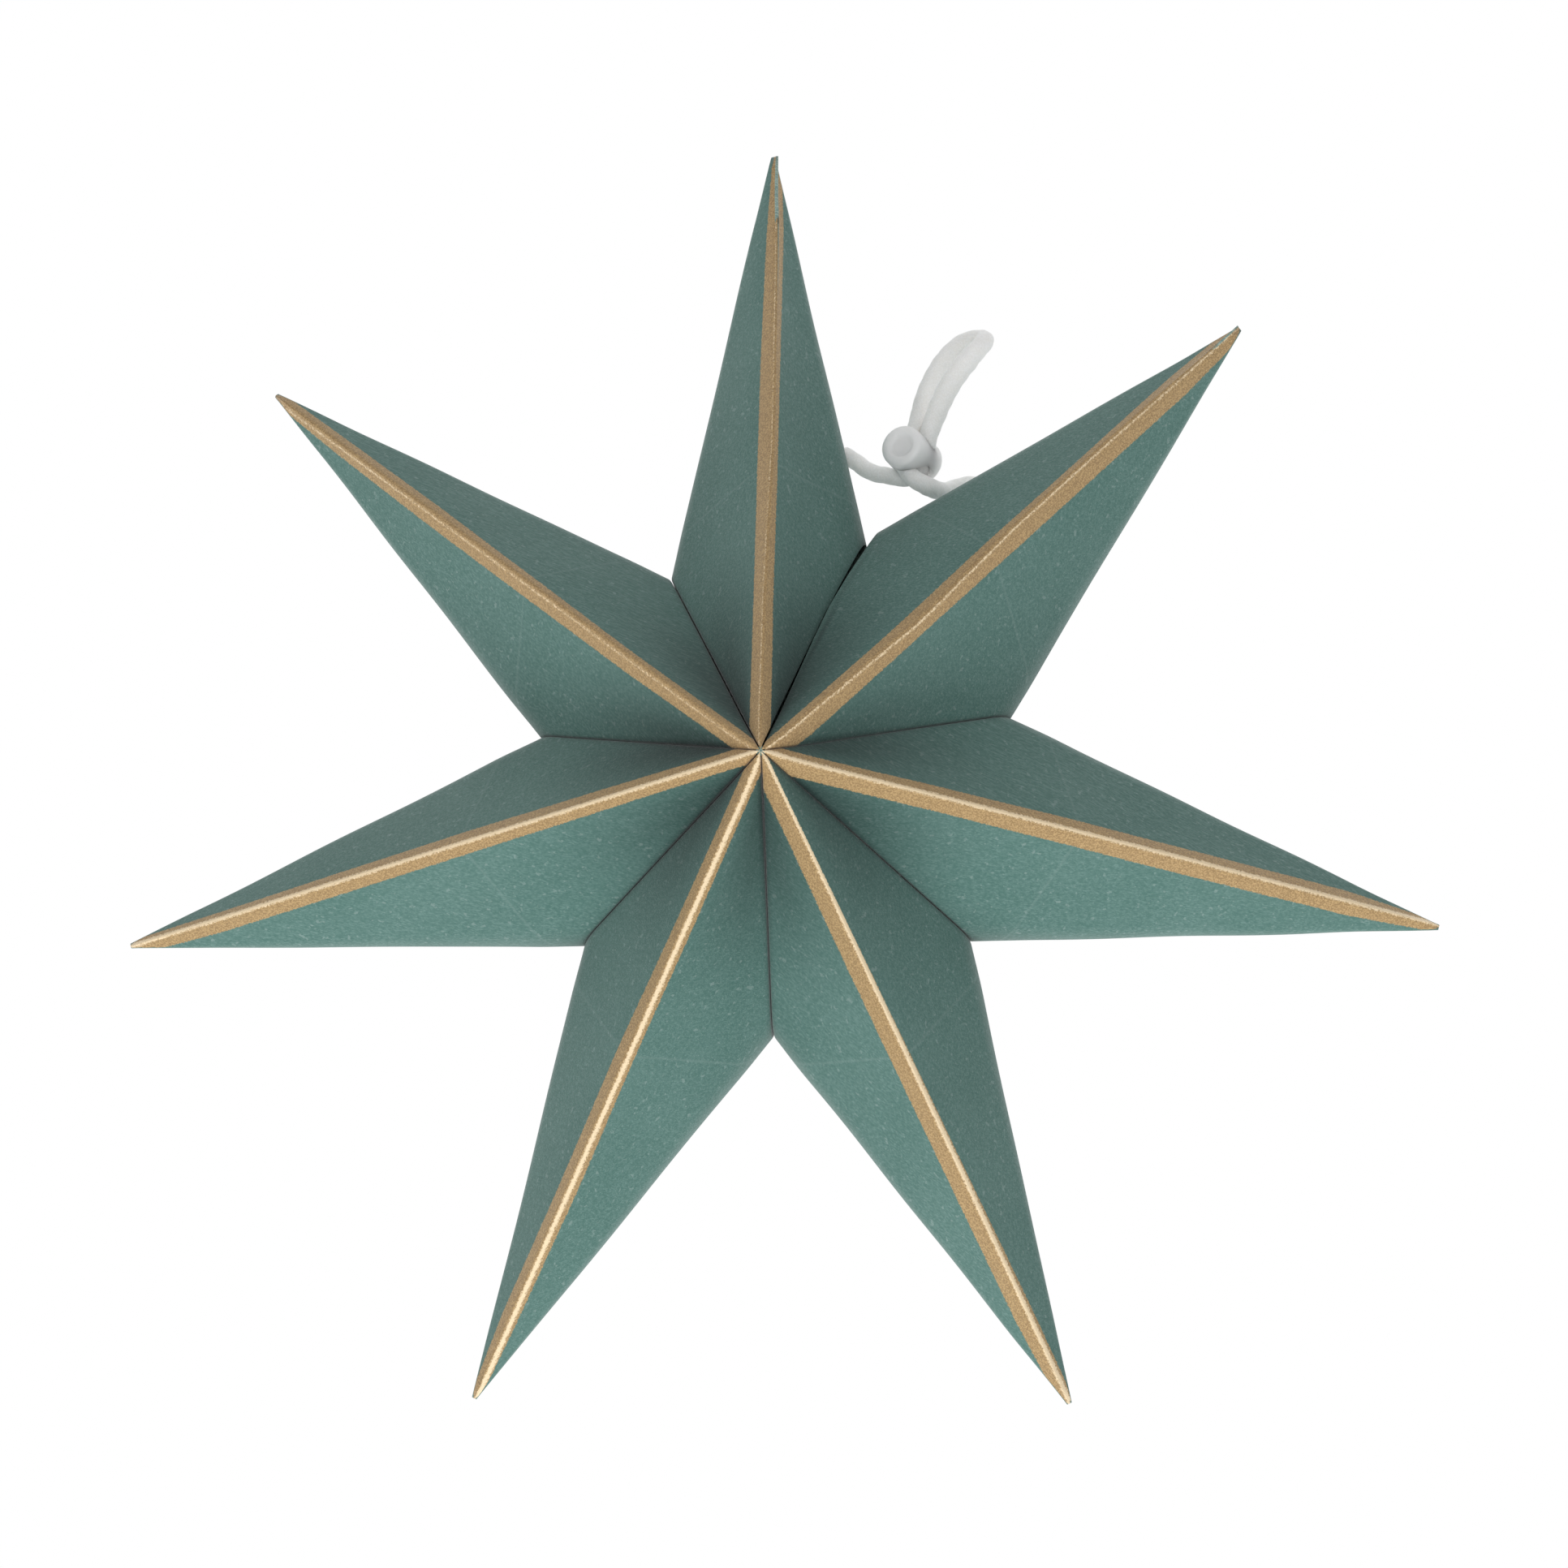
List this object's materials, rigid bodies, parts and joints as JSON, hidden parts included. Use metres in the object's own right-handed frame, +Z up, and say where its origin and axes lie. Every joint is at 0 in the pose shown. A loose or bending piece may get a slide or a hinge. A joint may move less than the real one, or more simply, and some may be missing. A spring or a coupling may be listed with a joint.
{
  "type": "folded paper star",
  "caption": "Hollow folded card star with striped gold ridges, hung from a short loop of twisted white cord that runs through a small translucent stopper.",
  "frame": {"origin": "where a hook carries the cord loop, straight above the star's centre", "axes": "+Z up, the star lies in the XZ plane, -Y is the front"},
  "size_m": [0.1479, 0.052, 0.1469],
  "materials": {
    "card": "matt, with gold foil stripes along the ridges",
    "cord": "twisted, soft",
    "stopper": "frosted, slightly translucent"
  },
  "bodies": {
    "root": {"point_1": "card", "point_2": "card", "point_3": "card", "point_4": "card", "point_5": "card", "point_6": "card", "point_7": "card", "cord": "cord", "knot_in_point_1": "cord", "knot_in_point_7": "cord", "cord_stopper": "stopper"}
  },
  "joints": []
}
